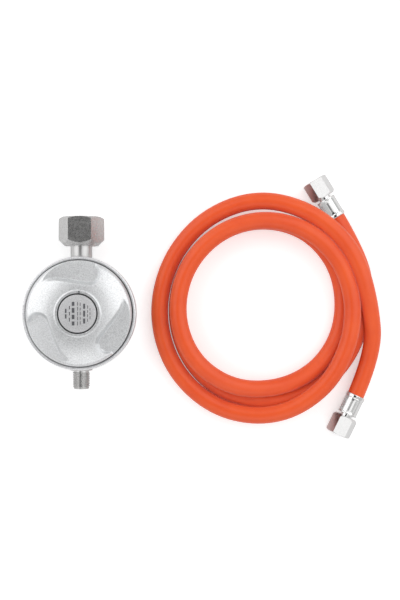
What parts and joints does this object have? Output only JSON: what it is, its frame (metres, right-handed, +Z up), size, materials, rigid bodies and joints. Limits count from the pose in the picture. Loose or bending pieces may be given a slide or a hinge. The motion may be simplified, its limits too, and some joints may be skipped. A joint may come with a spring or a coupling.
{
  "type": "propane regulator hose",
  "caption": "Round gas regulator with a domed cover and an inlet union nut, lying beside a coiled orange hose with a crimped union-nut fitting on each end.",
  "frame": {"origin": "on the regulator's diaphragm axis at its flat back face, which is also the surface the hose lies on", "axes": "+Z up through the cover, +Y towards the inlet union nut, +X towards the coiled hose"},
  "size_m": [0.2708, 0.2024, 0.0488],
  "materials": {
    "painted_cover": "fine-grained silver paint",
    "zinc_casting": "satin silver over a zinc casting",
    "plated_steel": "bright nickel plate",
    "cap_plate": "satin plate with plain printed bars",
    "hose_rubber": "smooth glossy orange",
    "black_rubber": "matt black",
    "turned_brass": "turned",
    "spring_steel": "bright wire",
    "pressed_steel": "zinc-plated pressing"
  },
  "bodies": {
    "regulator_and_hose": {"body_casting": "zinc_casting", "cover": "painted_cover", "label_cap": "cap_plate", "cap_seal": "black_rubber", "adjusting_screw": "turned_brass", "main_spring": "spring_steel", "diaphragm": "black_rubber", "lever_pin": "spring_steel", "nozzle": "turned_brass", "inlet_spigot": "plated_steel", "inlet_filter": "turned_brass", "inlet_gasket": "black_rubber", "outlet_nipple": "plated_steel", "hose_coil": "hose_rubber", "hose_tail_a": "hose_rubber", "hose_tail_b": "hose_rubber", "ferrule_a": "plated_steel", "ferrule_b": "plated_steel", "insert_a": "plated_steel", "insert_b": "plated_steel"},
    "inlet_nut": {"inlet_nut": "plated_steel"},
    "hose_nut_a": {"hose_nut_a": "plated_steel"},
    "hose_nut_b": {"hose_nut_b": "plated_steel"},
    "diaphragm_assembly": {"diaphragm_plate": "pressed_steel", "diaphragm_stem": "turned_brass", "stem_nut": "pressed_steel"},
    "valve_lever": {"lever": "pressed_steel"},
    "valve": {"valve_carrier": "turned_brass", "valve_pad": "black_rubber"}
  },
  "joints": [
    {"name": "inlet_nut_spin", "type": "hinge", "parent": "regulator_and_hose", "child": "inlet_nut", "pos_m": [0, 0.062, 0.018], "axis": [0, 1, 0], "continuous": true},
    {"name": "hose_nut_a_spin", "type": "hinge", "parent": "regulator_and_hose", "child": "hose_nut_a", "pos_m": [0.18141, 0.09516, 0.0085], "axis": [-0.5269, 0.8499, 0], "continuous": true},
    {"name": "hose_nut_b_spin", "type": "hinge", "parent": "regulator_and_hose", "child": "hose_nut_b", "pos_m": [0.19864, -0.08594, 0.0085], "axis": [-0.436, -0.9, 0], "continuous": true},
    {"name": "diaphragm_lift", "type": "slide", "parent": "regulator_and_hose", "child": "diaphragm_assembly", "axis": [0, 0, 1], "range_m": [0, 0.0015], "stiffness_N_per_m": 300, "springref_m": -0.004, "deforming": ["main_spring", "diaphragm"]},
    {"name": "lever_tilt", "type": "hinge", "parent": "regulator_and_hose", "child": "valve_lever", "pos_m": [0, 0.015, 0.01], "axis": [1, 0, 0], "range_deg": [-6, 0], "stiffness_Nm_per_rad": 0.0001, "springref_deg": -57.3},
    {"name": "valve_travel", "type": "slide", "parent": "regulator_and_hose", "child": "valve", "axis": [0, 1, 0], "range_m": [0, 0.00081]}
  ],
  "couplings": [
    {"joint": "lever_tilt", "follows": "diaphragm_lift", "rad_per_m": -66.667},
    {"joint": "valve_travel", "follows": "diaphragm_lift", "ratio": 0.53333}
  ]
}
